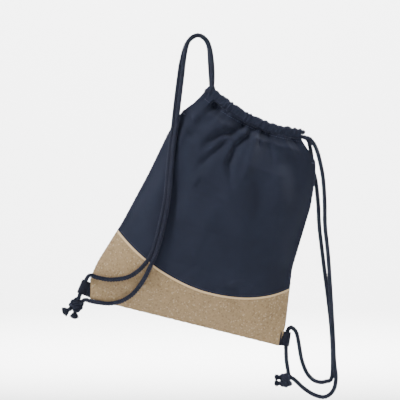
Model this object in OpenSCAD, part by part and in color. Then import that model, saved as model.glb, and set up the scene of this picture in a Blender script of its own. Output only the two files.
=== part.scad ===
// Drawstring backpack: a gathered canvas sack with a cork band, hung by its left strap.
// The origin is the underside of the left strap's top bend. Units are millimetres.

/* [Bag] */
// Width across the bottom seam
bag_w = 356; // [320:1:430]
// Height from the bottom seam to the middle of the hem
bag_h = 392; // [330:1:470]
// Thickness at the fullest part
bag_depth = 104; // [70:1:125]
// Slope of the bottom seam as the bag hangs
hang_tilt = 14; // [10:0.5:17]
// How far the strap pulls up the hem's left end
hem_rise = 36; // [28:1:44]
// Length of the hem once it is gathered
gather_w = 175; // [145:1:210]
// Canvas thickness
canvas_t = 1.6; // [1:0.1:2.4]
// Cork cloth thickness
cork_t = 1.8; // [1:0.1:2.6]

/* [Cork band] */
// Height of the cork at its lowest point
cork_mid_h = 62; // [50:1:80]
// How much higher the cork's seam climbs at the left side
cork_left_rise = 68; // [40:1:80]
// How much higher it climbs at the right side
cork_right_rise = 40; // [20:1:70]
// Width of the cut edge that shows above the seam
cork_edge_w = 3; // [2:0.1:5]

/* [Hem and cords] */
// Rope diameter
rope_d = 8; // [6.5:0.1:8.5]
// Free space around the two ropes in the hem
hem_play = 0.4; // [0.3:0.1:1]
// Canvas wall of the hem
hem_wall = 1.3; // [0.8:0.1:2]
// Gap between the two hems at the middle of the mouth
mouth_gap = 14; // [9:0.5:24]

/* [Tabs and knots] */
// Width of the webbing, along the rope that passes through it
tab_w = 26; // [20:1:32]
// Webbing thickness
web_t = 1.6; // [1.2:0.1:2.2]
// Free space around the rope in a tab
tab_play = 1.3; // [1.1:0.1:2]
// Distance from the right side seam to the rope in its tab
tab_reach = 12; // [10:0.5:14]
// Knot diameter
knot_d = 25; // [20:0.5:28]
// Knot length
knot_l = 20; // [16:0.5:24]

/* [Hidden] */

navy = [0.17, 0.19, 0.28];
rope_navy = [0.13, 0.14, 0.21];
cork_tan = [0.68, 0.55, 0.38];
edge_tan = [0.84, 0.73, 0.56];

rope_r = rope_d / 2;
gap = 0.3;
part_gap = 0.15;
sides = 8;

// Where the hem's left end hangs, in the row frame
hem_x = 26;
hem_z = -89;
hem_left = -56;
hem_right = hem_left + gather_w;
hem_sag = 16;

// Inside of the hem: two ropes, one above the other
lane = rope_r + hem_play / 2;
hem_in_r = rope_r + hem_play;
hem_out_r = hem_in_r + hem_wall;
hem_h = 2 * (lane + hem_out_r);
hem_t = 2 * hem_out_r;
panel_top = 1 - (hem_h + 2) / bag_h;

// Where the tabs are sewn in and how they hang
tab_t = 0.032;
seam_low = tab_t + (tab_w / 2 + 7.5) / (bag_h + hem_rise);
left_reach = tab_reach + 3;
tab_leg = 5;
left_lean = 23;
right_lean = 8;
right_turn = 35;

// Knots
left_knot_at = [-222, 0, -488];
left_knot_tilt = 38;
right_knot_at = [160, 0, -625];

// Routes of the free ropes, in the row frame
left_front_rise = [[24.5, -5.85, -95], [27, -5.2, -80], [26.5, -4.3, -50], [22, -4.2, -19],
    [14, -4.2, -3], [0, -4.2, 4], [-14, -4.2, -3], [-21, -4.2, -19], [-26, -4, -50]];
left_back_rise = [[24.5, 5.85, -95], [24, 5.2, -80], [22, 4.3, -50], [20, 4.2, -19],
    [13, 4.2, -3], [0, 4.2, 4], [-15, 4.2, -4], [-24, 4.2, -20], [-31.5, 3.4, -50]];
left_front_fall = [[-27, -3.8, -60], [-33.5, -10, -115], [-39, -16, -161], [-44, -25, -200],
    [-48, -35, -242], [-52, -45, -290], [-61, -51, -340], [-73, -49, -385],
    [-84, -43, -412], [-98, -34, -440], [-116, -24, -464], [-136, -16, -478],
    [-158, -11, -484], [-180, -7, -483], [-197, -3, -480], [-205, -1, -478]];
left_back_fall = [[-33, 3.2, -60], [-40, -3, -115], [-45, -9, -161], [-50, -18, -200],
    [-54, -29, -242], [-58, -39, -290], [-68, -45, -340], [-80, -43, -385],
    [-98, -36, -414], [-124, -28, -434], [-156, -19, -440], [-181, -12.5, -437],
    [-196, -7.5, -433], [-204.2, -0.8, -442.4], [-209.5, 0, -455.5], [-215, 0, -468], [-217, 0, -474]];
right_front_route = [[195.5, -4.6, -182], [205, -5, -186], [214, -5, -199], [221, -4.5, -220],
    [228, -4.2, -256], [231, -4.2, -300], [232, -4.2, -345], [238, -4.2, -404],
    [246, -4.6, -530], [249, -4.6, -590], [252, -4.4, -620], [247, -4, -643],
    [232, -3.5, -655], [212, -3, -651], [193, -2, -639], [180, -0.5, -627], [173, 0, -621.5]];
right_back_route = [[195.5, 4.6, -182], [203, 10, -189], [208, 20, -212], [211, 24, -240],
    [216, 17, -262], [220, 7, -305], [222, 5, -345], [229, 4.5, -405],
    [244, 4.8, -530], [246, 4.8, -614], [234, 5, -628], [215, 5, -627], [200, 5, -613],
    [190, 5.3, -588], [185, 5.8, -560], [180, 6.2, -538], [170, 6.6, -529],
    [163, 6.8, -538], [162.3, 6.9, -550.2], [161.3, 7, -563], [162, 5, -588], [165, 0.5, -610]];

// Outline of the sack: share of the height, then share of half the width
left_edge = [[0, -1.0], [0.08, -1.045], [0.16, -1.01], [0.35, -0.86], [0.58, -0.72],
    [0.77, -0.625], [0.88, -0.53]];
right_edge = [[0, 1.0], [0.1, 1.0], [0.36, 0.925], [0.66, 0.955], [0.8, 0.93],
    [0.88, 0.885], [0.92, 0.78]];
// Fullness: share of the height, then share of half the depth
plump = [[0, 0], [0.05, 0.26], [0.12, 0.52], [0.25, 0.82], [0.42, 1], [0.6, 0.97],
    [0.76, 0.8], [0.88, 0.52], [0.95, 0.22], [1, 0.14]];

function soft(t, table, d) = (lookup(t - d, table) + 2 * lookup(t, table) + lookup(t + d, table)) / 4;
function steps(n) = [for (i = [0 : n]) i / n];
function ease(k) = let (c = max(0, min(1, k))) c * c * (3 - 2 * c);
function sized(table, end) = concat([for (p = table) [p[0], p[1] * bag_w / 2]], end);
left_line = sized(left_edge, [[0.95, hem_left - 10], [1, hem_left]]);
right_line = sized(right_edge, [[0.96, hem_right + 3], [1, hem_right]]);

// Across (u) and up (v) in the bag's own plane, for s from side to side and t from bottom to hem
function flat_u(s, t) = soft(t, left_line, 0.02) * (1 - s) + soft(t, right_line, 0.015) * s;
function lens(s) = 4 * s * (1 - s);
function flat_v(s, t) = t * (bag_h + hem_rise * (1 - s)) - hem_sag * lens(s) * pow(min(1, t / panel_top), 4);
function fullness(s, t) = bag_depth / 2 * soft(t, plump, 0.03) * (1 - pow(abs(2 * s - 1), 2.4))
    * (1 - ease((t - 0.9) / (panel_top - 0.9)))
    + ease((t - 0.87) / (panel_top - 0.87)) * hem_y(s);
// Distance of each hem's middle from the bag's middle plane
function hem_y(s) = hem_out_r + part_gap + mouth_gap / 2 * lens(s);

// From the bag's own plane to the hanging pose
function hang(u, y, v) = [
    hem_x + (u - hem_left) * cos(hang_tilt) + (v - bag_h - hem_rise) * sin(hang_tilt),
    y,
    hem_z - (u - hem_left) * sin(hang_tilt) + (v - bag_h - hem_rise) * cos(hang_tilt)];
function cloth_point(s, t, y) = hang(flat_u(s, t), y, flat_v(s, t));

// Cork seam: share of the height at which the cork ends, from side to side
function seam_t(s) = (cork_mid_h + (s < 0.58
    ? cork_left_rise * pow((0.58 - s) / 0.58, 1.7)
    : cork_right_rise * pow((s - 0.58) / 0.42, 2.4))) / (bag_h + hem_rise * (1 - s));

// Faces of a closed skin between two grids of n + 1 by m + 1 points
function at(k, i, j, n, m) = (k * (n + 1) + i) * (m + 1) + j;
function skin_faces(n, m) = concat(
    [for (i = [0 : n - 1], j = [0 : m - 1]) each [
        [at(0, i, j, n, m), at(0, i, j + 1, n, m), at(0, i + 1, j + 1, n, m)],
        [at(0, i, j, n, m), at(0, i + 1, j + 1, n, m), at(0, i + 1, j, n, m)],
        [at(1, i, j, n, m), at(1, i + 1, j + 1, n, m), at(1, i, j + 1, n, m)],
        [at(1, i, j, n, m), at(1, i + 1, j, n, m), at(1, i + 1, j + 1, n, m)]]],
    [for (i = [0 : n - 1]) each [
        [at(0, i, 0, n, m), at(0, i + 1, 0, n, m), at(1, i + 1, 0, n, m)],
        [at(0, i, 0, n, m), at(1, i + 1, 0, n, m), at(1, i, 0, n, m)],
        [at(0, i + 1, m, n, m), at(0, i, m, n, m), at(1, i, m, n, m)],
        [at(0, i + 1, m, n, m), at(1, i, m, n, m), at(1, i + 1, m, n, m)]]],
    [for (j = [0 : m - 1]) each [
        [at(0, 0, j + 1, n, m), at(0, 0, j, n, m), at(1, 0, j, n, m)],
        [at(0, 0, j + 1, n, m), at(1, 0, j, n, m), at(1, 0, j + 1, n, m)],
        [at(0, n, j, n, m), at(0, n, j + 1, n, m), at(1, n, j + 1, n, m)],
        [at(0, n, j, n, m), at(1, n, j + 1, n, m), at(1, n, j, n, m)]]]);

// Sheet between two heights, as far from the middle plane as the bag is full, plus a lift
module sheet(face, thick, lift, low, high, n, m) {
    points = [for (k = [0, 1], i = [0 : n], j = [0 : m])
        let (s = i / n, t = low[i] + (high[i] - low[i]) * j / m,
            y = part_gap + lift + fullness(s, t) + k * thick)
        cloth_point(s, t, face * y)];
    turned = [for (f = skin_faces(n, m)) [f[0], f[2], f[1]]];
    polyhedron(points, face > 0 ? skin_faces(n, m) : turned, convexity = 6);
}

canvas_n = 26;
seam_row = [for (s = steps(canvas_n)) seam_t(s)];
function raised(row, d) = [for (t = row) t + d / bag_h];
function level(t) = [for (s = steps(canvas_n)) t];
// Height of the underside of the sloping hem, for a share of its length
function under(k) = let (slope = atan((hem_rise + 4 * hem_sag * (1 - 2 * k)) / gather_w))
    flat_v(k, 1) - hem_h / 2 * (1 + 1 / cos(slope));
// The part of the hem that hangs straight above the canvas, which is wider than the hem
function above(s) = max(0, min(1, (flat_u(s, panel_top) - hem_left) / gather_w));
// Share of the height at which the canvas ends, just below the hem
function top_t(s) = (min(under(s), under(above(s))) - gap + hem_sag * lens(s)) / (bag_h + hem_rise * (1 - s));

module canvas_panel(face) {
    sheet(face, canvas_t, 0, raised(seam_row, part_gap), [for (s = steps(canvas_n)) top_t(s)], canvas_n, 18);
}
module cork_panel(face) {
    sheet(face, cork_t, 0, level(0), raised(seam_row, -part_gap), canvas_n, 7);
}
module cork_edge(face) {
    sheet(face, 0.8, max(canvas_t, cork_t) + gap, raised(seam_row, -1),
        raised(seam_row, cork_edge_w - 1), canvas_n, 1);
}

module front_canvas_panel() {
    color(navy) canvas_panel(-1);
}
module back_canvas_panel() {
    color(navy) canvas_panel(1);
}
module front_cork_panel() {
    color(cork_tan) cork_panel(-1);
}
module back_cork_panel() {
    color(cork_tan) cork_panel(1);
}
module front_cork_edge() {
    color(edge_tan) cork_edge(-1);
}
module back_cork_edge() {
    color(edge_tan) cork_edge(1);
}

// Sweep along a route: at each point a ring square to the route, closed at both ends
function unit(v) = v / norm(v);
function way(p, i) = unit(p[min(i + 1, len(p) - 1)] - p[max(i - 1, 0)]);
function across(d) = let (y = [0, 1, 0]) unit(y - (y * d) * d);
function ring(c, a, b, r, n) = [for (k = [0 : n - 1]) c + r * (cos(360 * k / n) * a + sin(360 * k / n) * b)];
module tube(p, r, n, beside) {
    m = len(p);
    points = [for (i = [0 : m - 1])
        let (d = way(p, i), b = unit(cross(d, beside)), a = cross(b, d)) each ring(p[i], a, b, r, n)];
    walls = [for (i = [0 : m - 2], k = [0 : n - 1]) each [
        [i * n + k, (i + 1) * n + (k + 1) % n, i * n + (k + 1) % n],
        [i * n + k, (i + 1) * n + k, (i + 1) * n + (k + 1) % n]]];
    ends = [[for (k = [0 : n - 1]) k], [for (k = [n - 1 : -1 : 0]) (m - 1) * n + k]];
    polyhedron(points, concat(walls, ends), convexity = 8);
}

// Middle line of a hem, from its left end to its right end
hem_steps = 22;
function hem_mid(s, face) = hang(hem_left + gather_w * s, face * hem_y(s), flat_v(s, 1) - hem_h / 2);
function hem_line(face) = [for (s = steps(hem_steps)) hem_mid(s, face)];
// A lane beside the middle line, up or down in the plane of the bag
function lane_line(line, up) = [for (i = [0 : len(line) - 1])
    line[i] + up * cross(way(line, i), across(way(line, i)))];

// Long rounded section around the two lanes
function slot_ring(c, d, r, n) = let (a = across(d), b = cross(a, d))
    [for (k = [0 : n - 1]) let (w = 360 * (k + 0.5) / n)
        c + r * cos(w) * a + (r * sin(w) + sign(sin(w)) * lane) * b];
module hem_tube(face) {
    n = 16;
    line = hem_line(face);
    m = len(line);
    points = [for (r = [hem_out_r, hem_in_r], i = [0 : m - 1]) each slot_ring(line[i], way(line, i), r, n)];
    walls = [for (w = [0, 1], i = [0 : m - 2], k = [0 : n - 1])
        let (a = (w * m + i) * n + k, b = (w * m + i) * n + (k + 1) % n)
        each w == 0 ? [[a, b, b + n], [a, b + n, a + n]] : [[a, b + n, b], [a, a + n, b + n]]];
    rims = [for (k = [0 : n - 1]) let (q = (k + 1) % n, e = (m - 1) * n)
        each [[k, m * n + k, m * n + q], [k, m * n + q, q],
            [e + k, e + q, e + m * n + q], [e + k, e + m * n + q, e + m * n + k]]];
    polyhedron(points, concat(walls, rims), convexity = 8);
}
module front_hem_channel() {
    color(navy) hem_tube(-1);
}
module back_hem_channel() {
    color(navy) hem_tube(1);
}

// Round turn of a cord from one hem to the other, past the hems' ends
function turn(line, up) =
    let (e = len(line) - 1, w = way(line, e), d = unit([w[0], 0, w[2]]), c = lane_line(line, up)[e])
    [for (a = [-90 : 30 : 90]) [c[0], 0, c[2]] + d * (1.2 + hem_y(1) * cos(a)) + [0, hem_y(1) * sin(a), 0]];
function reversed(p) = [for (i = [len(p) - 1 : -1 : 0]) p[i]];
function mirrored(p) = [for (q = reversed(p)) [q[0], -q[1], q[2]]];
module cord_in_hem(line, up) {
    half = lane_line(line, up);
    tube(concat(half, turn(line, up), mirrored(half)), rope_r, sides, [0, 0, 1]);
}
module left_cord_in_hem() {
    color(rope_navy) cord_in_hem(hem_line(-1), lane);
}
module right_cord_in_hem() {
    color(rope_navy) cord_in_hem(reversed(hem_line(-1)), lane);
}

// Strips of cloth turned in along the seams, between the two sides of the bag
module seam_strip(s_low, s_high, t_low, t_high, n, m) {
    points = [for (k = [0, 1], i = [0 : n], j = [0 : m])
        cloth_point(s_low + (s_high - s_low) * i / n, t_low + (t_high - t_low) * j / m, k - 0.5)];
    polyhedron(points, skin_faces(n, m), convexity = 4);
}
module left_side_seam() {
    color(navy) seam_strip(0.012, 0.035, seam_low, 0.85, 1, 20);
}
module right_side_seam() {
    color(navy) seam_strip(0.965, 0.988, seam_low, 0.85, 1, 20);
}
module bottom_seam() {
    color(navy) seam_strip(0.06, 0.94, 0.012, 0.034, 20, 1);
}

// Thread bars across the foot of each side slit, front and back
module slit_bartacks() {
    color(rope_navy) for (s = [0.016, 0.984], face = [-1, 1])
        translate(cloth_point(s, 0.86, face * (fullness(s, 0.86) + canvas_t + 2.3)))
            rotate([0, hang_tilt, 0]) cube([5, 1, 1.6], center = true);
}

// Webbing loop around the rope, with its two legs closed and sewn into the side seam
tab_in_r = rope_r + tab_play;
tab_out_r = tab_in_r + web_t;
module tab_shape(reach) {
    difference() {
        union() {
            circle(r = tab_out_r, $fn = 64);
            polygon([[0, tab_out_r], [reach - tab_leg, web_t], [reach + 2, web_t],
                [reach + 2, -web_t], [reach - tab_leg, -web_t], [0, -tab_out_r]]);
        }
        circle(r = tab_in_r, $fn = 64);
    }
}
// Places a tab at its seam: side, lean in the bag's plane and turn about the seam
module at_tab(out, reach, lean, turned) {
    translate(cloth_point(out > 0 ? 1 : 0, tab_t, 0))
        rotate([0, lean, 0]) rotate([0, 0, turned])
            translate([out * reach, 0, 0]) rotate([0, 0, out > 0 ? 180 : 0]) children();
}
module tab(reach) {
    linear_extrude(height = tab_w, center = true) tab_shape(reach);
}
// Two rows of stitches across the legs, beside the seam
module tab_stitches(reach) {
    for (face = [-1, 1], k = [-2 : 2])
        translate([reach - 4.4, face * (web_t + 0.5), k * tab_w / 5.8]) cube([0.8, 0.8, 3], center = true);
}
module left_tab() {
    color(rope_navy) at_tab(-1, left_reach, left_lean, 0) tab(left_reach);
}
module right_tab() {
    color(rope_navy) at_tab(1, tab_reach, right_lean, right_turn) tab(tab_reach);
}
module left_tab_stitching() {
    color(navy) at_tab(-1, left_reach, left_lean, 0) tab_stitches(left_reach);
}
module right_tab_stitching() {
    color(navy) at_tab(1, tab_reach, right_lean, right_turn) tab_stitches(tab_reach);
}

// The free ropes
module rope(route) {
    tube(route, rope_r, sides, [0, 1, 0]);
}
module left_front_rope_rise() {
    color(rope_navy) rope(left_front_rise);
}
module left_back_rope_rise() {
    color(rope_navy) rope(left_back_rise);
}
module left_front_rope_fall() {
    color(rope_navy) rope(left_front_fall);
}
module left_back_rope_fall() {
    color(rope_navy) rope(left_back_fall);
}
module right_front_rope() {
    color(rope_navy) rope(right_front_route);
}
module right_back_rope() {
    color(rope_navy) rope(right_back_route);
}

// A pulled-up overhand knot: a rounded barrel around its own axis
function barrel(r, l) = [for (w = [-90 : 15 : 90])
    [r * pow(cos(w), 0.6), l / 2 * sin(w)]];
module knot() {
    rotate_extrude($fn = 40) polygon(barrel(knot_d / 2, knot_l));
}
// A cut rope end that frays out into a brush
module tail(l, brush_r) {
    rotate_extrude($fn = 32) polygon([[0, 0], [rope_r, 0], [rope_r, l * 0.5],
        [brush_r, l * 0.8], [brush_r * 0.9, l], [0, l]]);
}
// Turns +Z to point along a tilt in the hanging plane, measured from straight down to the left
module pointing(place, tilt) {
    translate(place) rotate([0, 180 + tilt, 0]) children();
}
module left_knot() {
    color(rope_navy) pointing(left_knot_at, left_knot_tilt) knot();
}
module left_knot_tails() {
    color(rope_navy) {
        pointing([left_knot_at[0] - 6, 0, left_knot_at[2] - 4], 66) translate([0, 0, 5]) tail(16, 8);
        pointing([left_knot_at[0] + 2, 0, left_knot_at[2] - 4], 350) translate([0, 0, 5]) tail(15, 6.5);
    }
}
module right_knot() {
    color(rope_navy) pointing(right_knot_at, 90) knot();
}
module right_knot_tails() {
    color(rope_navy) for (up = [-1, 1])
        pointing([right_knot_at[0] - 5, 0, right_knot_at[2] + up * 5.6], 90)
            translate([0, 0, 3]) tail(13, 4.8 - up * 0.4);
}

front_canvas_panel();
back_canvas_panel();
front_cork_panel();
back_cork_panel();
front_cork_edge();
back_cork_edge();
front_hem_channel();
back_hem_channel();
left_side_seam();
right_side_seam();
bottom_seam();
slit_bartacks();
left_tab();
right_tab();
left_tab_stitching();
right_tab_stitching();
left_cord_in_hem();
right_cord_in_hem();
left_front_rope_rise();
left_back_rope_rise();
left_front_rope_fall();
left_back_rope_fall();
left_knot();
left_knot_tails();
right_front_rope();
right_back_rope();
right_knot();
right_knot_tails();
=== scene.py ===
# %% [markdown]
# # A drawstring backpack in cloth, cork and rope
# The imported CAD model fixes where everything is. This script puts a believable surface on
# that frame: gathered canvas with folds, a cork band, laid rope, knots and webbing.
# Lengths are metres. Each code cell does one step, and prints what it made.

import math

import bpy
import numpy as np
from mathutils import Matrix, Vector


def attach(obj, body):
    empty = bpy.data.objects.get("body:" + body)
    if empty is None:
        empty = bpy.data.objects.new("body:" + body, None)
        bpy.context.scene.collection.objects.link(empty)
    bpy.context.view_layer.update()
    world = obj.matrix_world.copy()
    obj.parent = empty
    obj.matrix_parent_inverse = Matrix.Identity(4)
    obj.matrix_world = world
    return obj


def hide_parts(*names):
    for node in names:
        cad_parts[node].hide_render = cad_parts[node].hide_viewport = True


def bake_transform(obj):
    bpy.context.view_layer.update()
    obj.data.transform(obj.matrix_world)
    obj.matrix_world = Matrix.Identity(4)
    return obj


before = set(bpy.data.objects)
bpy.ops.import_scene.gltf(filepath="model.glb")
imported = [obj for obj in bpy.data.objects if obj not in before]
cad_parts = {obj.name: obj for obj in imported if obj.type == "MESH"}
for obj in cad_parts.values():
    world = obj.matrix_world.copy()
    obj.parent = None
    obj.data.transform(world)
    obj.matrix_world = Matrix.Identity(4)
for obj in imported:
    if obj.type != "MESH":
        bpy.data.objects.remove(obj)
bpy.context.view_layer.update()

# %% [markdown]
# ## Small tools
# A surface here is a grid of points, worked out for the whole grid at once with numpy.
# Blender takes the points and the faces in two calls, so a large mesh is made in a moment.


# %%
def smooth(k):
    """0 below 0, 1 above 1, and an S-shaped climb between: 3k^2 - 2k^3."""
    k = np.clip(k, 0.0, 1.0)
    return k * k * (3 - 2 * k)


def unit(v):
    """Each row divided by its own length."""
    return v / np.maximum(np.linalg.norm(v, axis=-1, keepdims=True), 1e-12)


def grid_faces(rows, cols, round_cols=False):
    """Corner numbers of the quads of a grid. With round_cols the last column joins the first."""
    i = np.arange(rows - 1)[:, None]
    j = np.arange(cols if round_cols else cols - 1)[None, :]
    k = (j + 1) % cols
    return np.stack([i * cols + j, i * cols + k, (i + 1) * cols + k, (i + 1) * cols + j], -1).reshape(-1, 4)


def make_mesh(name, points, quads, material, uv=None, smooth_shade=True):
    """A mesh object from arrays: n x 3 points, m x 4 corner numbers, and a u, v pair for each point."""
    data = bpy.data.meshes.new(name)
    data.vertices.add(len(points))
    data.vertices.foreach_set("co", np.asarray(points, np.float32).ravel())
    data.loops.add(quads.size)
    data.loops.foreach_set("vertex_index", quads.astype(np.int32).ravel())
    data.polygons.add(len(quads))
    data.polygons.foreach_set("loop_start", np.arange(0, quads.size, 4, dtype=np.int32))
    data.polygons.foreach_set("loop_total", np.full(len(quads), 4, np.int32))
    data.polygons.foreach_set("use_smooth", np.full(len(quads), smooth_shade, bool))
    if uv is not None:
        layer = data.uv_layers.new(name="UVMap")
        layer.data.foreach_set("uv", np.asarray(uv, np.float32)[quads.ravel()].ravel())
    data.update(calc_edges=True)
    data.materials.append(material)
    made = bpy.data.objects.new(name, data)
    bpy.context.collection.objects.link(made)
    return made


def wobble(x, seed, waves=5, low=1.0, high=6.0):
    """A smooth random line: a sum of sines of chosen frequencies, between about -1 and 1."""
    r = np.random.default_rng(seed)
    f = r.uniform(low, high, waves)
    p = r.uniform(0, 2 * np.pi, waves)
    return sum(np.sin(2 * np.pi * f[i] * x + p[i]) for i in range(waves)) / math.sqrt(waves)


# %% [markdown]
# ## Materials
# Canvas and webbing share one node group. It turns a place on the cloth into the height of
# its crossing threads, and hands over only that number. Each material has its own Principled
# shader, which uses the height as a bump and mixes its dark and light tone by noise.


# %%
def add(tree, kind, **inputs):
    """A new node of one kind, with constants set on its sockets by name."""
    made = tree.nodes.new(kind)
    for name, value in inputs.items():
        made.inputs[name.replace("_", " ")].default_value = value
    return made


def new_group(name, inputs, outputs):
    """A shader node group with its input and output sockets."""
    group = bpy.data.node_groups.new(name, "ShaderNodeTree")
    for label, kind, value in inputs:
        group.interface.new_socket(label, in_out="INPUT", socket_type=kind).default_value = value
    for label, kind in outputs:
        group.interface.new_socket(label, in_out="OUTPUT", socket_type=kind)
    return group, group.nodes.new("NodeGroupInput"), group.nodes.new("NodeGroupOutput")


def math_node(tree, operation, a, b=0.5):
    """One step of arithmetic between two sockets, or a socket and a number."""
    made = tree.nodes.new("ShaderNodeMath")
    made.operation = operation
    for socket, value in zip(made.inputs, (a, b)):
        if isinstance(value, (int, float)):
            socket.default_value = value
        else:
            tree.links.new(value, socket)
    return made.outputs[0]


def weighted(tree, first, first_share, second, second_share):
    """Two number sockets added, each times its share."""
    a = math_node(tree, "MULTIPLY", first, first_share)
    b = math_node(tree, "MULTIPLY", second, second_share)
    return math_node(tree, "ADD", a, b)


def mix_node(tree, amount, a, b):
    """Two colours mixed by a number. Each may be a socket or a colour."""
    made = tree.nodes.new("ShaderNodeMix")
    made.data_type = "RGBA"
    for socket, value in ((made.inputs[0], amount), (made.inputs[6], a), (made.inputs[7], b)):
        if isinstance(value, bpy.types.NodeSocket):
            tree.links.new(value, socket)
        else:
            socket.default_value = value
    return made.outputs[2]


def noise_node(tree, vector, scale, detail=3.0, rough=0.55):
    """Soft random cells, read at a vector socket."""
    made = add(tree, "ShaderNodeTexNoise", Scale=scale, Detail=detail, Roughness=rough)
    tree.links.new(vector, made.inputs["Vector"])
    return made.outputs["Fac"]


def principled(name, roughness, sheen=0.0, sheen_tint=(1, 1, 1, 1)):
    """A material with one Principled shader and an Object coordinate to read patterns at."""
    material = bpy.data.materials.new(name)
    material.use_nodes = True
    tree = material.node_tree
    shader = tree.nodes["Principled BSDF"]
    shader.inputs["Roughness"].default_value = roughness
    shader.inputs["Specular IOR Level"].default_value = 0.18
    shader.inputs["Sheen Weight"].default_value = sheen
    shader.inputs["Sheen Roughness"].default_value = 0.5
    shader.inputs["Sheen Tint"].default_value = sheen_tint
    where = tree.nodes.new("ShaderNodeTexCoord")
    return material, tree, shader, where


def bump(tree, shader, height, distance, strength=1.0):
    """Turns a height socket into small relief on the shader."""
    made = add(tree, "ShaderNodeBump", Strength=strength, Distance=distance)
    tree.links.new(height, made.inputs["Height"])
    tree.links.new(made.outputs["Normal"], shader.inputs["Normal"])


# %%
# Woven cloth: threads both ways, read from a u, v pair in metres
weave, w_in, w_out = new_group(
    "weave",
    [("UV", "NodeSocketVector", (0, 0, 0)), ("Thread", "NodeSocketFloat", 0.0011)],
    [("Height", "NodeSocketFloat")],
)
parts = weave.nodes.new("ShaderNodeSeparateXYZ")
weave.links.new(w_in.outputs["UV"], parts.inputs[0])
turns = math_node(weave, "DIVIDE", math.pi, w_in.outputs["Thread"])
warp = math_node(weave, "SINE", math_node(weave, "MULTIPLY", parts.outputs[0], turns))
weft = math_node(weave, "SINE", math_node(weave, "MULTIPLY", parts.outputs[1], turns))
over = math_node(weave, "MULTIPLY", warp, weft)
slubs = noise_node(weave, w_in.outputs["UV"], 900.0, 2.0)
weave.links.new(math_node(weave, "ADD", over, slubs), w_out.inputs["Height"])


def woven(name, dark, light, thread, relief, sheen):
    """Plain-weave cotton: two tones mixed by slow wear and fine grain, and threads as relief."""
    material, tree, shader, where = principled(name, 0.9, sheen, (0.75, 0.8, 1.0, 1))
    group = tree.nodes.new("ShaderNodeGroup")
    group.node_tree = weave
    group.inputs["Thread"].default_value = thread
    tree.links.new(where.outputs["UV"], group.inputs["UV"])
    worn = noise_node(tree, where.outputs["Object"], 14.0, 4.0)
    grain = noise_node(tree, where.outputs["UV"], 1300.0, 3.0, 0.7)
    tone = weighted(tree, worn, 0.55, grain, 0.45)
    colour = mix_node(tree, tone, dark, light)
    tree.links.new(colour, shader.inputs["Base Color"])
    bump(tree, shader, group.outputs["Height"], relief, 0.6)
    return material


canvas = woven("canvas", (0.0036, 0.0050, 0.0112, 1), (0.0148, 0.0186, 0.0350, 1), 0.0011, 0.00018, 0.06)
webbing = woven("webbing", (0.0030, 0.0038, 0.0080, 1), (0.0105, 0.0120, 0.0220, 1), 0.0016, 0.0004, 0.05)
print("woven materials:", canvas.name, webbing.name)

# %%
# Cork cloth: warm tan with brown pores and pale flecks
cork, tree, shader, where = principled("cork", 0.62)
shader.inputs["Specular IOR Level"].default_value = 0.35
place = where.outputs["Object"]
large = noise_node(tree, place, 30.0, 5.0, 0.6)
fine = noise_node(tree, place, 700.0, 4.0, 0.7)
grains = add(tree, "ShaderNodeTexVoronoi", Scale=420.0, Randomness=1.0)
tree.links.new(place, grains.inputs["Vector"])
split = tree.nodes.new("ShaderNodeSeparateColor")
tree.links.new(grains.outputs["Color"], split.inputs[0])
base = mix_node(tree, split.outputs[0], (0.150, 0.097, 0.044, 1), (0.245, 0.167, 0.082, 1))
base = mix_node(tree, math_node(tree, "MULTIPLY", large, 0.8), base, (0.190, 0.125, 0.059, 1))
base = mix_node(tree, math_node(tree, "MULTIPLY", fine, 0.45), base, (0.360, 0.258, 0.140, 1))
specks = math_node(tree, "MULTIPLY", math_node(tree, "GREATER_THAN", split.outputs[1], 0.90), 0.40)
base = mix_node(tree, specks, base, (0.10, 0.060, 0.028, 1))
pale_bits = math_node(tree, "MULTIPLY", math_node(tree, "GREATER_THAN", split.outputs[2], 0.93), 0.20)
base = mix_node(tree, pale_bits, base, (0.62, 0.50, 0.33, 1))
tree.links.new(base, shader.inputs["Base Color"])
grain_height = math_node(tree, "MULTIPLY", split.outputs[0], 0.3)
bump(tree, shader, math_node(tree, "ADD", fine, grain_height), 0.0004, 0.5)

edge, tree, shader, where = principled("cork_edge", 0.7)
fleck = noise_node(tree, where.outputs["Object"], 600.0, 3.0, 0.7)
edge_colour = mix_node(tree, fleck, (0.38, 0.255, 0.125, 1), (0.62, 0.475, 0.285, 1))
tree.links.new(edge_colour, shader.inputs["Base Color"])

# %%
# Laid cotton rope and sewing thread. The rope's u runs round it and v along it, in metres
rope_cloth, tree, shader, where = principled("rope", 0.88, 0.08, (0.7, 0.75, 1.0, 1))
fibres = add(tree, "ShaderNodeTexWave", Scale=1.0, Distortion=1.5, Detail=2.0)
fibres.bands_direction = "X"
stretch = tree.nodes.new("ShaderNodeMapping")
stretch.inputs["Scale"].default_value = (420.0, 110.0, 1.0)
tree.links.new(where.outputs["UV"], stretch.inputs["Vector"])
tree.links.new(stretch.outputs[0], fibres.inputs["Vector"])
fuzz = noise_node(tree, where.outputs["Object"], 1400.0, 3.0, 0.7)
tone = weighted(tree, fibres.outputs["Fac"], 0.5, fuzz, 0.5)
rope_colour = mix_node(tree, tone, (0.0035, 0.0044, 0.0100, 1), (0.0170, 0.0205, 0.0380, 1))
tree.links.new(rope_colour, shader.inputs["Base Color"])
bump(tree, shader, tone, 0.0005, 0.7)

thread, tree, shader, where = principled("thread", 0.7)
shader.inputs["Base Color"].default_value = (0.03, 0.034, 0.06, 1)
print("materials:", [m.name for m in bpy.data.materials])

# %% [markdown]
# ## Camera and light
# The camera comes first. A long lens from far away keeps the sides of the bag nearly
# parallel.

# %%
eye = bpy.data.objects.new("camera", bpy.data.cameras.new("camera"))
bpy.context.collection.objects.link(eye)
bpy.context.scene.camera = eye
eye.location = (0.004, -3.2, -0.24)
eye.rotation_euler = (math.radians(89.0), 0, 0)
eye.data.lens = 158
eye.data.sensor_width = 36


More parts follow.
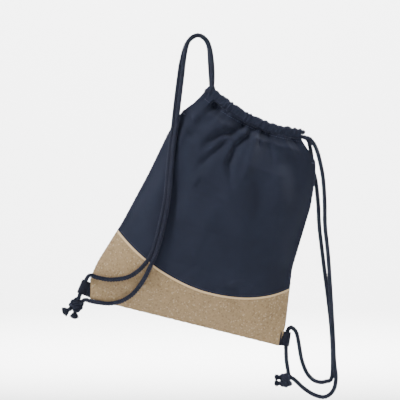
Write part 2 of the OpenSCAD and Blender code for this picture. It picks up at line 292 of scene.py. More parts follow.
def area_light(name, place, aim, size, power, colour=(1, 1, 1)):
    """A square lamp at place, turned to face aim."""
    lamp = bpy.data.objects.new(name, bpy.data.lights.new(name, "AREA"))
    lamp.data.size, lamp.data.energy, lamp.data.color = size, power, colour
    lamp.location = place
    towards = np.array(aim) - np.array(place)
    lamp.rotation_mode = "QUATERNION"
    lamp.rotation_quaternion = Vector(towards).to_track_quat("-Z", "Y")
    bpy.context.collection.objects.link(lamp)
    return lamp


area_light("key", (-1.20, -0.90, 1.45), (0, 0, -0.20), 0.45, 78)
area_light("back", (0.0, 2.0, 1.6), (0, 6.0, 0.3), 2.5, 850)
area_light("behind", (1.60, 0.45, 1.20), (0, 0, -0.25), 0.35, 60)

# %%
# A pale round studio: a floor, a curved corner and a wall all the way round, open at the top
turns = np.linspace(0, math.pi / 2, 16)
reach = np.concatenate([[0, 2.0, 4.0], 4.6 + 1.5 * np.sin(turns), [6.1]])[:, None]
rise = np.concatenate([[0, 0, 0], 1.5 - 1.5 * np.cos(turns), [4.6]])[:, None] - 0.86
round_by = np.linspace(0, 2 * np.pi, 64, endpoint=False)[None, :]
sweep = np.stack([reach * np.cos(round_by), reach * np.sin(round_by), rise + 0 * round_by], -1)
pale, tree, shader, where = principled("pale_sweep", 0.9)
shader.inputs["Base Color"].default_value = (0.9, 0.9, 0.9, 1)
floor = make_mesh("studio", sweep.reshape(-1, 3), grid_faces(len(rise), 64, True), pale)
world = bpy.data.worlds.new("sky")
world.use_nodes = True
world.node_tree.nodes["Background"].inputs["Color"].default_value = (1, 1, 1, 1)
world.node_tree.nodes["Background"].inputs["Strength"].default_value = 0.6
bpy.context.scene.world = world
print("camera, lamps and a studio")

# %% [markdown]
# ## The shape of the bag
# Two numbers name a place on the cloth. s runs from the left side to the right side, and t
# from the bottom seam to the hem. The outline gives how wide the bag is at each height, and
# the fullness how far each side stands from the middle plane. Last, the flat shape is tilted,
# because the bag hangs from one corner. These are the formulas of the CAD model. Only top_t is
# simpler here: it leaves out a correction of 0.15 mm, because the canvas goes into the hem.

# %%
BAG_W, BAG_H, BAG_DEPTH, TILT = 0.356, 0.392, 0.104, math.radians(14)
HEM_RISE, GATHER_W, HEM_SAG = 0.036, 0.175, 0.016
HEM_X, HEM_Z, HEM_LEFT = 0.026, -0.089, -0.056
HEM_RIGHT = HEM_LEFT + GATHER_W
ROPE_R, LANE, HEM_R = 0.004, 0.0042, 0.0057
HEM_H = 2 * (LANE + HEM_R)
PANEL_TOP = 1 - (HEM_H + 0.002) / BAG_H
GAP, MOUTH = 0.00015, 0.014

LEFT_EDGE = np.array(
    [[0, -1.0], [0.08, -1.045], [0.16, -1.01], [0.35, -0.86], [0.58, -0.72], [0.77, -0.625], [0.88, -0.53]]
)
RIGHT_EDGE = np.array(
    [[0, 1.0], [0.1, 1.0], [0.36, 0.925], [0.66, 0.955], [0.8, 0.93], [0.88, 0.885], [0.92, 0.78]]
)
PLUMP = np.array(
    [[0, 0], [0.05, 0.26], [0.12, 0.52], [0.25, 0.82], [0.42, 1]]
    + [[0.6, 0.97], [0.76, 0.8], [0.88, 0.52], [0.95, 0.22], [1, 0.14]]
)


def soft(t, table, d):
    """A table of corner points read at t, with its corners rounded by averaging over d."""
    look = lambda x: np.interp(x, table[:, 0], table[:, 1])
    return (look(t - d) + 2 * look(t) + look(t + d)) / 4


def lens(s):
    """A bow from 0 to 1 and back to 0: 4s(1 - s)."""
    return 4 * s * (1 - s)


half_w = np.array([1, BAG_W / 2])
LEFT = np.vstack([LEFT_EDGE * half_w, [[0.95, HEM_LEFT - 0.010], [1, HEM_LEFT]]])
RIGHT = np.vstack([RIGHT_EDGE * half_w, [[0.96, HEM_RIGHT + 0.003], [1, HEM_RIGHT]]])


def flat_u(s, t):
    """How far across the tilted bag a place is: from the left edge to the right edge by s."""
    return soft(t, LEFT, 0.02) * (1 - s) + soft(t, RIGHT, 0.015) * s


def flat_v(s, t):
    """How far up it is: t times the height there, less the sag of the hem."""
    return t * (BAG_H + HEM_RISE * (1 - s)) - HEM_SAG * lens(s) * np.minimum(1, t / PANEL_TOP) ** 4


def hem_y(s):
    """Distance of a hem's middle from the middle plane. The mouth is widest halfway along."""
    return HEM_R + GAP + MOUTH / 2 * lens(s)


def fullness(s, t):
    """Half the bag's thickness: a lens across, the table up it, and the hem's place at the top."""
    body = BAG_DEPTH / 2 * soft(t, PLUMP, 0.03) * (1 - np.abs(2 * s - 1) ** 2.4)
    body_fades = 1 - smooth((t - 0.9) / (PANEL_TOP - 0.9))
    hem_grows = smooth((t - 0.87) / (PANEL_TOP - 0.87))
    return body * body_fades + hem_grows * hem_y(s)


def hang(u, y, v):
    """From the bag's own plane to the hanging pose: a turn by the tilt about the hem's left end."""
    du, dv = u - HEM_LEFT, v - BAG_H - HEM_RISE
    x = HEM_X + du * math.cos(TILT) + dv * math.sin(TILT)
    z = HEM_Z - du * math.sin(TILT) + dv * math.cos(TILT)
    return np.stack([x, y + 0 * du, z], -1)


def top_t(s):
    """The share of the height at which the canvas meets the underside of the sloping hem."""
    slope = np.arctan((HEM_RISE + 4 * HEM_SAG * (1 - 2 * s)) / GATHER_W)
    return 1 - (HEM_H / 2 * (1 + 1 / np.cos(slope)) + 0.0003) / (BAG_H + HEM_RISE * (1 - s))


def seam_t(s):
    """The share of the height of the cork's curved seam: lowest right of the middle."""
    left = 0.068 * np.clip((0.58 - s) / 0.58, 0, 1) ** 1.7
    right = 0.040 * np.clip((s - 0.58) / 0.42, 0, 1) ** 2.4
    return (0.062 + left + right) / (BAG_H + HEM_RISE * (1 - s))


print("bag", BAG_W, "wide and", BAG_H, "high; cork up to t =", round(float(seam_t(np.array(0.0))), 3))

# %% [markdown]
# ## Ropes
# A rope is a tube swept along a route. The route's few points are joined by a smooth curve
# that passes through each of them, then cut into equal steps. The section isn't a circle but
# four lobes, one for each strand, and it turns as it goes along. That makes the twisted lay.


# %%
def curve_through(points, step):
    """A Catmull-Rom curve through the points, cut into equal steps of about that length."""
    p = np.asarray(points, float)
    p = np.vstack([2 * p[0] - p[1], p, 2 * p[-1] - p[-2]])
    k = np.linspace(0, 1, 24, endpoint=False)[None, :, None]
    a, b, c, d = (p[i : len(p) - 3 + i][:, None, :] for i in range(4))
    line = 0.5 * (2 * b + (c - a) * k + (2 * a - 5 * b + 4 * c - d) * k**2 + (3 * b - a - 3 * c + d) * k**3)
    line = np.vstack([line.reshape(-1, 3), p[-2]])
    run = np.append(0, np.cumsum(np.linalg.norm(np.diff(line, axis=0), axis=1)))
    even = np.linspace(0, run[-1], max(2, int(round(run[-1] / step)) + 1))
    return np.stack([np.interp(even, run, line[:, i]) for i in range(3)], -1)


def length_of(line):
    """The sum of the distances between neighbouring points."""
    return float(np.linalg.norm(np.diff(line, axis=0), axis=1).sum())


def lay_shape(angle, radius, strands=4):
    """Radius of a rope made of round strands, at an angle: the strand's far side, seen from the middle."""
    half = math.pi / strands
    strand_r = radius * math.sin(half) / (1 + math.sin(half))
    centre = radius - strand_r
    off = (angle + half) % (2 * half) - half
    return centre * np.cos(off) + np.sqrt(np.maximum(strand_r**2 - (centre * np.sin(off)) ** 2, 0))


def rope_mesh(name, line, radius=0.0042, lay=0.021, beside=(0, 1, 0), around=32, cap=0.0015):
    """A laid rope along a line. Each ring is square to the line, and turned a little past the last."""
    way = unit(np.gradient(line, axis=0))
    b = unit(np.cross(way, np.asarray(beside, float)))
    a = np.cross(b, way)
    run = np.append(0, np.cumsum(np.linalg.norm(np.diff(line, axis=0), axis=1)))
    angle = np.linspace(0, 2 * np.pi, around, endpoint=False)[None, :]
    shape = lay_shape(angle, radius) * (1 + 0.02 * wobble(run[:, None] * 40, 3))
    ends = np.minimum(run, run[-1] - run)[:, None]
    shape = shape * np.sqrt(np.clip(ends / cap, 0.02, 1))
    turned = angle - 2 * np.pi * run[:, None] / lay
    outward = np.cos(turned)[..., None] * a[:, None] + np.sin(turned)[..., None] * b[:, None]
    points = (line[:, None, :] + shape[..., None] * outward).reshape(-1, 3)
    uv = np.stack(np.broadcast_arrays(angle * radius, run[:, None]), -1)
    return make_mesh(name, points, grid_faces(len(line), around, True), rope_cloth, uv.reshape(-1, 2))


# %%
# The routes of the free ropes, in millimetres in the row frame
RISE = {
    "front": [
        (24.5, -5.85, -95), (27, -5.2, -80), (26.5, -4.3, -50), (22, -4.2, -19), (14, -4.2, -3),
        (0, -4.2, 4), (-14, -4.2, -3), (-21, -4.2, -19), (-26, -4, -50),
    ],
    "back": [
        (24.5, 5.85, -95), (24, 5.2, -80), (22, 4.3, -50), (20, 4.2, -19), (13, 4.2, -3), (0, 4.2, 4),
        (-15, 4.2, -4), (-24, 4.2, -20), (-31.5, 3.4, -50),
    ],
}
FALL = {
    "front": [
        (-27, -3.8, -60), (-33.5, -10, -115), (-39, -16, -161), (-44, -25, -200), (-48, -35, -242),
        (-52, -45, -290), (-61, -51, -340), (-73, -49, -385), (-84, -43, -412), (-98, -34, -440),
        (-116, -24, -464), (-136, -16, -478), (-158, -11, -484), (-180, -7, -483), (-197, -3, -480),
        (-205, -1, -478),
    ],
    "back": [
        (-33, 3.2, -60), (-40, -3, -115), (-45, -9, -161), (-50, -18, -200), (-54, -29, -242),
        (-58, -39, -290), (-68, -45, -340), (-80, -43, -385), (-98, -36, -414), (-124, -28, -434),
        (-156, -19, -440), (-181, -12.5, -437), (-196, -7.5, -433), (-204.2, -0.8, -442.4),
        (-209.5, 0, -455.5), (-215, 0, -468), (-217, 0, -474),
    ],
}
RIGHT_ROPE = {
    "front": [
        (195.5, -4.6, -182), (205, -5, -186), (214, -5, -199), (221, -4.5, -220), (228, -4.2, -256),
        (231, -4.2, -300), (232, -4.2, -345), (238, -4.2, -404), (246, -4.6, -530), (249, -4.6, -590),
        (252, -4.4, -620), (247, -4, -643), (232, -3.5, -655), (212, -3, -651), (193, -2, -639),
        (180, -0.5, -627), (173, 0, -621.5),
    ],
    "back": [
        (195.5, 4.6, -182), (203, 10, -189), (208, 20, -212), (211, 24, -240), (216, 17, -262),
        (220, 7, -305), (222, 5, -345), (229, 4.5, -405), (244, 4.8, -530), (246, 4.8, -614),
        (234, 5, -628), (215, 5, -627), (200, 5, -613), (190, 5.3, -588), (185, 5.8, -560),
        (180, 6.2, -538), (170, 6.6, -529), (163, 6.8, -538), (162.3, 6.9, -550.2), (161.3, 7, -563),
        (162, 5, -588), (165, 0.5, -610),
    ],
}

# Short ends that the cloth or a knot hides: out of the hem at the start, into the knot at the end
OUT_OF_HEM = {"front": [(184.5, -5.9, -179.8)], "back": [(184.5, 5.9, -179.8)]}
INTO_LEFT = {"front": [(-213, -1, -482), (-221, -1, -487)], "back": [(-219, 0, -481), (-222, 1, -489)]}
INTO_RIGHT = {"front": [(166, 1, -620.5), (159, 1, -622)], "back": [(164.5, -2, -616), (161, -2, -625)]}

strands = {}
for side in ("front", "back"):
    left = curve_through(np.array(RISE[side] + FALL[side] + INTO_LEFT[side]) / 1000, 0.001)
    right = curve_through(np.array(OUT_OF_HEM[side] + RIGHT_ROPE[side] + INTO_RIGHT[side]) / 1000, 0.001)
    strands["left_" + side] = (rope_mesh(f"left_{side}_rope", left), left)
    strands["right_" + side] = (rope_mesh(f"right_{side}_rope_strand", right), right)
    print(side, "ropes:", round(length_of(left), 3), "and", round(length_of(right), 3), "m")

# %% [markdown]
# ## Folds in the cloth
# Folds are height added to the smooth bag, along the outward direction. Each fold is a ridge
# or a valley along a short line of points on the bag as seen from the front. Its height falls
# off away from the line as a bell curve, and fades at both ends of the line.


# %%
def along(x, z, points):
    """Distance of each place from a line of points, and how far along it the nearest point is, 0 to 1."""
    p = np.asarray(points, float)
    best, where = np.full(x.shape, 1e9), np.zeros(x.shape)
    total = length_of(p)
    done = 0.0
    for a, b in zip(p[:-1], p[1:]):
        d = b - a
        size = float(np.hypot(*d))
        k = np.clip(((x - a[0]) * d[0] + (z - a[1]) * d[1]) / size**2, 0, 1)
        far = np.hypot(x - a[0] - k * d[0], z - a[1] - k * d[1])
        near = far < best
        best, where = np.where(near, far, best), np.where(near, (done + k * size) / total, where)
        done += size
    return best, where


def fold(x, z, points, width, height, sharp=2.0, start=0.15, end=0.6):
    """A ridge, or a valley below 0: height * exp(-(distance / width)^sharp), faded at both ends."""
    far, k = along(x, z, points)
    fade = smooth(k / start) * smooth((1 - k) / end)
    return height * fade * np.exp(-((far / width) ** sharp))


# Folds of the front, seen from the front: line of (x, z) points, width, height, sharpness
FRONT_FOLDS = [
    (
        [(0.096, -0.154), (0.074, -0.169), (0.042, -0.178), (0.016, -0.193), (-0.006, -0.222)],
        0.0085, -0.0125, 1.7,
    ),
    ([(0.048, -0.154), (0.016, -0.177), (-0.003, -0.196)], 0.014, 0.0065, 2.0),
    ([(0.060, -0.182), (0.026, -0.212), (0.000, -0.238), (-0.022, -0.256)], 0.0085, -0.0095, 1.7),
    ([(0.060, -0.176), (0.032, -0.196), (0.010, -0.222)], 0.008, 0.0050, 2.0),
    (
        [(0.109, -0.161), (0.090, -0.180), (0.068, -0.199), (0.056, -0.231), (0.062, -0.290)],
        0.0080, -0.0130, 1.7,
    ),
    ([(0.096, -0.160), (0.074, -0.186), (0.052, -0.218), (0.045, -0.250)], 0.009, 0.0060, 2.0),
    (
        [(0.112, -0.164), (0.103, -0.199), (0.090, -0.238), (0.074, -0.266), (0.068, -0.282)],
        0.0095, 0.0080, 1.8,
    ),
    ([(0.118, -0.164), (0.111, -0.186), (0.112, -0.218)], 0.0050, -0.0060, 1.5),
    ([(-0.006, -0.263), (0.032, -0.282), (0.060, -0.288)], 0.012, -0.0050, 2.0),
    ([(0.024, -0.116), (0.036, -0.130), (0.052, -0.143)], 0.0060, -0.0080, 1.6),
    ([(-0.014, -0.148), (0.012, -0.143), (0.036, -0.147)], 0.010, 0.0050, 2.0),
    ([(-0.004, -0.165), (-0.030, -0.200), (-0.045, -0.240)], 0.012, -0.0040, 2.0),
    ([(0.163, -0.180), (0.180, -0.192), (0.196, -0.206)], 0.0060, -0.0055, 1.5),
    ([(0.140, -0.172), (0.160, -0.190), (0.184, -0.222)], 0.010, 0.0055, 1.8),
    ([(0.130, -0.172), (0.134, -0.215), (0.140, -0.260)], 0.009, -0.0045, 1.8),
    ([(0.172, -0.215), (0.176, -0.265), (0.168, -0.320)], 0.014, -0.0040, 2.0),
    ([(0.150, -0.230), (0.148, -0.300), (0.128, -0.390)], 0.018, 0.0045, 2.0),
    ([(0.120, -0.240), (0.112, -0.310), (0.090, -0.400)], 0.016, -0.0035, 2.0),
    ([(-0.020, -0.150), (-0.060, -0.250), (-0.110, -0.380)], 0.016, 0.0045, 2.0),
    ([(0.000, -0.200), (-0.040, -0.290), (-0.080, -0.390)], 0.016, -0.0040, 2.0),
    ([(0.040, -0.290), (0.010, -0.350), (-0.020, -0.410)], 0.020, 0.0035, 2.0),
]
BACK_FOLDS = [
    ([(0.050, -0.140), (0.040, -0.220), (0.010, -0.320)], 0.012, -0.0096, 1.6),
    ([(0.080, -0.155), (0.075, -0.240), (0.060, -0.330)], 0.012, 0.0088, 1.8),
    ([(0.110, -0.165), (0.115, -0.230), (0.100, -0.300)], 0.010, -0.0088, 1.6),
    ([(0.150, -0.180), (0.155, -0.260), (0.150, -0.350)], 0.014, 0.0080, 2.0),
    ([(0.030, -0.130), (0.000, -0.190), (-0.050, -0.270)], 0.012, 0.0080, 1.8),
    ([(-0.010, -0.260), (0.060, -0.300), (0.120, -0.290)], 0.020, -0.0064, 2.0),
]
LOW_FOLDS = [
    ([(-0.150, -0.440), (-0.080, -0.460), (-0.010, -0.470)], 0.014, 0.0030, 2.0),
    ([(0.060, -0.440), (0.080, -0.500), (0.085, -0.540)], 0.016, -0.0030, 2.0),
    ([(-0.020, -0.420), (0.020, -0.480), (0.030, -0.510)], 0.020, 0.0030, 2.0),
]


def gathers(s, t, seed):
    """Pleats under the hem: a random wave across the cloth, strongest at the hem and gone lower down."""
    below = np.clip((top_t(s) - t) * BAG_H, 0, 1)
    shift = s + 0.01 * wobble(t, seed + 7, 3, 1, 4)
    fine = wobble(shift, seed, 6, 9, 17) * np.exp(-below / 0.022)
    broad = wobble(shift, seed + 1, 5, 3, 8) * np.exp(-below / 0.070)
    edge = smooth(s / 0.04) * smooth((1 - s) / 0.04)
    return (0.0016 * fine + 0.0024 * broad) * edge


def creases(x, z, seed):
    """Soft random dents all over, so that no part is quite smooth."""
    a = wobble(x + 0.35 * z, seed, 5, 4, 13) * wobble(z - 0.2 * x, seed + 1, 4, 3, 9)
    b = wobble(0.8 * x - z, seed + 2, 6, 9, 24)
    return 0.0011 * a + 0.0004 * b


def relief(s, t, face, seed):
    """All the folds of one face, in metres outward. It fades to nothing at the side and bottom seams."""
    at = hang(flat_u(s, t), 0, flat_v(s, t))
    x, z = at[..., 0], at[..., 2]
    total = gathers(s, t, seed) + creases(x, z, seed + 3)
    for line, width, height, sharp in (FRONT_FOLDS if face < 0 else BACK_FOLDS) + LOW_FOLDS:
        total = total + fold(x, z, line, width, height, sharp)
    rim = smooth(s / 0.10) * smooth((1 - s) / 0.10) * smooth(t / 0.06)
    return total * rim


print(len(FRONT_FOLDS), "front folds,", len(BACK_FOLDS), "back folds")

# %% [markdown]
# ## Panels
# Each panel is a shell: an outer skin, an inner skin a cloth's thickness inside it, and a
# strip round the border that closes it. The front and the back use the same function.


# %%
def skin(s, t, face, seed, lift=0.0):
    """Points of one skin of a face at places s, t, lifted outward."""
    y = GAP + lift + fullness(s, t) + relief(s, t, face, seed)
    y = np.maximum(y, GAP + lift)
    return hang(flat_u(s, t), face * y, flat_v(s, t))


def panel(name, face, low, high, rows, cols, seed, thick, material, lift=0.0, span=(0.0, 1.0)):
    """A closed shell of cloth over a span of s, between two heights t, each given as a function of s."""
    s = np.linspace(*span, cols)[None, :]
    k = np.linspace(0, 1, rows)[:, None]
    t = low(s) * (1 - k) + high(s) * k
    s = s + 0 * t
    outer, inner = skin(s, t, face, seed, lift + thick), skin(s, t, face, seed, lift)
    n = rows * cols
    quads = grid_faces(rows, cols)
    if face > 0:
        quads = quads[:, ::-1]
    number = np.arange(n).reshape(rows, cols)
    rim = np.concatenate([number[0, :-1], number[:-1, -1], number[-1, :0:-1], number[:0:-1, 0]])
    after = np.roll(rim, -1)
    strip = np.stack([rim, rim + n, after + n, after], -1)
    if face > 0:
        strip = strip[:, ::-1]
    uv = np.stack([flat_u(s, t), flat_v(s, t)], -1).reshape(-1, 2)
    faces = np.concatenate([quads, quads[:, ::-1] + n, strip])
    points = np.concatenate([outer.reshape(-1, 3), inner.reshape(-1, 3)])
    return make_mesh(name, points, faces, material, np.vstack([uv, uv]))


def canvas_top(s):
    """The canvas ends a little inside the hem. At the left corner it climbs to the hem's very end."""
    low = top_t(s) + 0.009 + 0.014 * np.exp(-((s / 0.16) ** 2))
    return low + (1.0 - low) * np.exp(-((s / 0.045) ** 2))


CANVAS_T, CORK_T, ROWS, COLS = 0.0016, 0.0018, 210, 200
SEED = {-1: 11, 1: 47}
panels = {}
for side, face in (("front", -1), ("back", 1)):
    seed = SEED[face]
    under_cork = lambda s: seam_t(s) - 0.006
    cloth = panel(side + "_canvas", face, under_cork, canvas_top, ROWS, COLS, seed, CANVAS_T, canvas)
    band = panel(side + "_cork", face, lambda s: 0 * s, seam_t, 80, COLS, seed, CORK_T, cork, 0.0003)
    panels[side + "_canvas"], panels[side + "_cork"] = cloth, band
print("panels:", sorted(panels))

# %% [markdown]
# ## Hems and the cords inside them
# Each hem is a tube of cloth, taller than it is thick, because two ropes lie in it one above
# the other. Gathering pushes the cloth into small folds that run round the tube. They are a
# wave along the hem with sharp valleys and round tops, of uneven length.


# %%
def hem_line(s, face):
    """The middle of a hem, from its left end to its right end."""
    return hang(HEM_LEFT + GATHER_W * s, face * hem_y(s), flat_v(s, 1.0) - HEM_H / 2)


def directions(line):
    """Along, across (mostly front to back) and up, at each point of a line."""
    way = unit(np.gradient(line, axis=0))
    flat = np.array([0, 1.0, 0])
    side = unit(flat - (way @ flat)[:, None] * way)
    return way, side, np.cross(way, side)


def hem_tube(name, face, seed, rows=420, around=56):
    """A gathered tube round two lanes, with an inner skin and closed rims."""
    s = np.linspace(0.012, 1.015, rows)
    line = hem_line(s, face)
    way, side, up = directions(line)
    angle = (np.arange(around) + 0.5) * 2 * np.pi / around
    phase = 2 * np.pi * (12.5 * s + 0.30 * wobble(s, seed, 4, 2, 6))[:, None]
    phase = phase + 0.9 * np.sin(angle + seed)[None, :]
    ruffle = 0.5 + 0.5 * np.cos(phase)
    size = 0.65 + 0.35 * wobble(s, seed + 1, 4, 2, 7)[:, None]
    ruffle = ruffle**0.75 * size * (0.75 + 0.35 * np.sin(angle))[None, :]
    small = 0.0003 * wobble(s[:, None] + 0.02 * np.sin(2 * angle)[None, :], seed + 2, 5, 20, 45)
    slim = 0.80 + 0.20 * smooth(s / 0.14)[:, None]
    skins = []
    for radius, share in ((HEM_R, 1.0), (HEM_R - 0.0011, 0.85)):
        r = slim * (radius - 0.0003 + share * (0.0030 * ruffle - 0.0009 + small))
        out = r * np.cos(angle)[None, :]
        rise_by = r * np.sin(angle)[None, :] + np.sign(np.sin(angle))[None, :] * LANE
        skins.append(line[:, None] + out[..., None] * side[:, None] + rise_by[..., None] * up[:, None])
    n = rows * around
    quads = grid_faces(rows, around, True)
    j = np.arange(around)
    k = (j + 1) % around
    last = (rows - 1) * around
    first_rim = np.stack([k, j, j + n, k + n], -1)
    last_rim = last + np.stack([j, k, n + k, n + j], -1)
    run = np.broadcast_to((s * 0.36)[:, None], (rows, around))
    uv = np.stack([run, np.broadcast_to(angle * 0.009, (rows, around))], -1).reshape(-1, 2)
    faces = np.concatenate([quads[:, ::-1], quads + n, first_rim, last_rim])
    points = np.concatenate([k.reshape(-1, 3) for k in skins])
    return make_mesh(name, points, faces, canvas, np.vstack([uv, uv]))


hems = {side: hem_tube(side + "_hem", face, SEED[face] + 20) for side, face in (("front", -1), ("back", 1))}


def lane_route(reverse, up_by):
    """A cord's way along the front hem, round the far end and back along the rear hem."""
    s = np.linspace(0, 1, 60)
    line = hem_line(s[::-1] if reverse else s, -1)
    way, side, up = directions(line)
    half = line + up_by * up
    end = half[-1] * [1, 0, 1]
    out = unit(way[-1] * [1, 0, 1])
    a = np.radians(np.arange(-90, 91, 15))[:, None]
    r = hem_y(1.0)
    turn = end + out * (0.0012 + r * np.cos(a)) + np.array([0, 1, 0]) * r * np.sin(a)
    return np.vstack([half, turn, half[::-1] * [1, -1, 1]])


def resample(line, step):
    """The same line cut into equal steps."""
    run = np.append(0, np.cumsum(np.linalg.norm(np.diff(line, axis=0), axis=1)))
    even = np.linspace(0, run[-1], int(run[-1] / step) + 1)
    return np.stack([np.interp(even, run, line[:, i]) for i in range(3)], -1)


inside = {}
for side in ("left", "right"):
    route = resample(lane_route(side == "right", LANE), 0.0012)
    inside[side] = rope_mesh(side + "_hem_cord", route, beside=(0, 0, 1), around=24)
print("hems and the two cords in them")

# %% [markdown]
# ## Tabs
# A tab is one strip of webbing. Its two legs lie together in the side seam, and its bend goes
# round the rope. The strip's middle line is drawn flat, given a thickness, and then drawn out
# along the rope. Rounded long edges come from making the strip thinner close to them.


# %%
TAB_T, TAB_W, WEB_T = 0.032, 0.026, 0.0016
TAB_MID_R = ROPE_R + 0.0013 + WEB_T / 2
TABS = {"left": (-1, 0.015, 23, 0), "right": (1, 0.012, 8, 35)}  # side, reach, lean, turn


def tab_frame(out, reach, lean, turned):
    """Turns a tab's own places into the row frame: lean in the bag's plane, turn about its seam."""
    seam = hang(flat_u(float(out > 0), TAB_T), 0.0, flat_v(float(out > 0), TAB_T))
    a, b = math.radians(lean), math.radians(turned)
    tilt = np.array([[math.cos(a), 0, math.sin(a)], [0, 1, 0], [-math.sin(a), 0, math.cos(a)]])
    spin = np.array([[math.cos(b), -math.sin(b), 0], [math.sin(b), math.cos(b), 0], [0, 0, 1]])
    flip = np.diag([-1.0, -1.0, 1.0]) if out > 0 else np.eye(3)
    return lambda p: (p @ flip.T + [out * reach, 0, 0]) @ spin.T @ tilt.T + seam


def tab_mesh(name, place, reach):
    """The strip of one tab as a closed skin round its middle line."""
    start = math.radians(46)
    bend = np.linspace(start, 2 * np.pi - start, 60)
    arc = TAB_MID_R * np.stack([np.cos(bend), np.sin(bend)], -1)
    leg = np.array([[reach + 0.004, 0.0009], [reach - 0.002, 0.0009], [reach - 0.0045, 0.0011]])
    mid = resample(np.pad(np.vstack([leg, arc, leg[::-1] * [1, -1]]), ((0, 0), (0, 1))), 0.0007)[:, :2]
    way = unit(np.gradient(mid, axis=0))
    normal = np.stack([-way[:, 1], way[:, 0]], -1)
    wide = 40
    across = np.linspace(-1, 1, wide)
    half_t = WEB_T / 2 * np.sqrt(1 - 0.75 * np.abs(across) ** 8) * (1 + 0.10 * np.cos(across * 10.5 * np.pi))
    ring_z = np.concatenate([across, across[::-1]]) * TAB_W / 2
    ring_n = np.concatenate([half_t, -half_t[::-1]])
    flat = mid[:, None] + ring_n[None, :, None] * normal[:, None]
    points = np.concatenate([flat, np.broadcast_to(ring_z[None, :, None], flat.shape[:2] + (1,))], -1)
    rows, around = points.shape[:2]
    k = np.arange(wide - 1)
    start_cap = np.stack([k, k + 1, 2 * wide - 2 - k, 2 * wide - 1 - k], -1)
    end_cap = start_cap[:, ::-1] + (rows - 1) * around
    faces = np.concatenate([grid_faces(rows, around, True), start_cap, end_cap])
    run = np.broadcast_to(np.arange(rows)[:, None] * 0.0007, (rows, around))
    uv = np.stack([run, np.broadcast_to(ring_z[None], (rows, around))], -1)
    return make_mesh(name, place(points.reshape(-1, 3)), faces, webbing, uv.reshape(-1, 2))


places = {side: tab_frame(*TABS[side]) for side in TABS}
tabs = {side: tab_mesh(side + "_web_tab", places[side], TABS[side][1]) for side in TABS}
print("tabs:", sorted(tabs))

# %% [markdown]
# ## Stitches
# A stitch is a short fat bead, flat at neither end. One bead is made as a grid, and all the
# stitches of a seam are that bead turned and moved, in one array.


# %%
def beads(name, centres, ways, normals, size, body_material):
    """Rounded stitches of a length, width and height, each lying along its way on a surface."""
    a = np.linspace(0, 2 * np.pi, 8, endpoint=False)[None, :]
    b = np.linspace(-1, 1, 7)[:, None]
    thick = np.sqrt(np.maximum(1 - np.abs(b) ** 3, 0.02))
    one = np.stack(np.broadcast_arrays(b, thick * np.cos(a), thick * np.sin(a)), -1)
    one = one.reshape(-1, 3) * np.array(size) / 2
    ways, normals = unit(ways), unit(normals)
    side = unit(np.cross(normals, ways))
    normals = np.cross(ways, side)
    turn = np.stack([ways, side, normals], 1)
    points = np.einsum("pk,nkx->npx", one, turn) + centres[:, None]
    quads = grid_faces(7, 8, True)[:, ::-1]
    faces = (quads[None] + np.arange(len(centres))[:, None, None] * len(one)).reshape(-1, 4)
    return make_mesh(name, points.reshape(-1, 3), faces, body_material)


def on_face(s, t, face, lift):
    """Points on a face with the way along s and the outward direction there."""
    lift_by = lambda s, t: skin(s, t, face, SEED[face], lift)
    here = lift_by(s, t)
    along_s = lift_by(s + 0.002, t) - here
    along_t = lift_by(s, t + 0.002) - here
    return here, along_s, -face * np.cross(along_s, along_t)


hem_stitches, seam_stitches = [], []
for side, face in (("front", -1), ("back", 1)):
    s = np.linspace(0.03, 0.985, 46)
    here, way, out = on_face(s, top_t(s) - 0.004, face, CANVAS_T + 0.0002)
    hem_stitches.append(beads(side + "_hem_stitches", here, way, out, (0.0028, 0.0009, 0.0008), thread))
    s = np.linspace(0.02, 0.98, 120)
    here, way, out = on_face(s, seam_t(s) + 0.014, face, CANVAS_T + 0.0002)
    seam_stitches.append(beads(side + "_seam_stitches", here, way, out, (0.0024, 0.0008, 0.0007), thread))

tab_stitches = {}
for side in TABS:
    z = np.linspace(-0.0105, 0.0105, 8)
    row = np.stack([0 * z + TABS[side][1] - 0.0044, 0 * z + 0.00185, z], -1)
    both = places[side](np.vstack([row, row * [1, -1, 1]]))
    axes = places[side](np.eye(3)) - places[side](np.zeros((1, 3)))
    way, out = np.repeat(axes[2:], 2 * len(z), 0), np.repeat(axes[1:2], 2 * len(z), 0)
    tab_stitches[side] = beads(side + "_tab_stitches", both, way, out, (0.0022, 0.0008, 0.0006), thread)
print("stitches sewn")

# %% [markdown]
# ## Knots
# Two strands pulled into an overhand knot make a barrel of wraps. Each strand enters at one
# end, winds once round the barrel, and leaves through the other end as a tail. The two
# windings are half a turn apart, so that they lie side by side.


# %%
def pointing(place, tilt):
    """Turns +Z to point along a tilt in the hanging plane, from straight down to the left."""
    a = math.radians(180 + tilt)
    turn = np.array([[math.cos(a), 0, math.sin(a)], [0, 1, 0], [-math.sin(a), 0, math.cos(a)]])
    return lambda p: p @ turn.T + place


def wrap_route(start, turns, length, radius, lead):
    """In at the top, once round the barrel and out at the bottom."""
    k = np.linspace(0, 1, 15)
    a = start + 2 * np.pi * turns * k
    r = radius * (0.82 + 0.18 * np.sin(np.pi * k))
    coil = np.stack([r * np.cos(a), r * np.sin(a), length * (k - 0.5)], -1)
    before, after = start - 0.9, a[-1] + 0.7
    top = [0.6 * radius * math.cos(before), 0.6 * radius * math.sin(before), -length / 2 - lead]
    low = [0.5 * radius * math.cos(after), 0.5 * radius * math.sin(after), length / 2 + 0.4 * lead]
    return curve_through(np.vstack([top, coil, low]), 0.0007)


def axis_of(put, n):
    """The direction that a placed thing's own axis n points in, in the row frame."""
    return tuple((put(np.eye(3)) - put(np.zeros((1, 3))))[n])


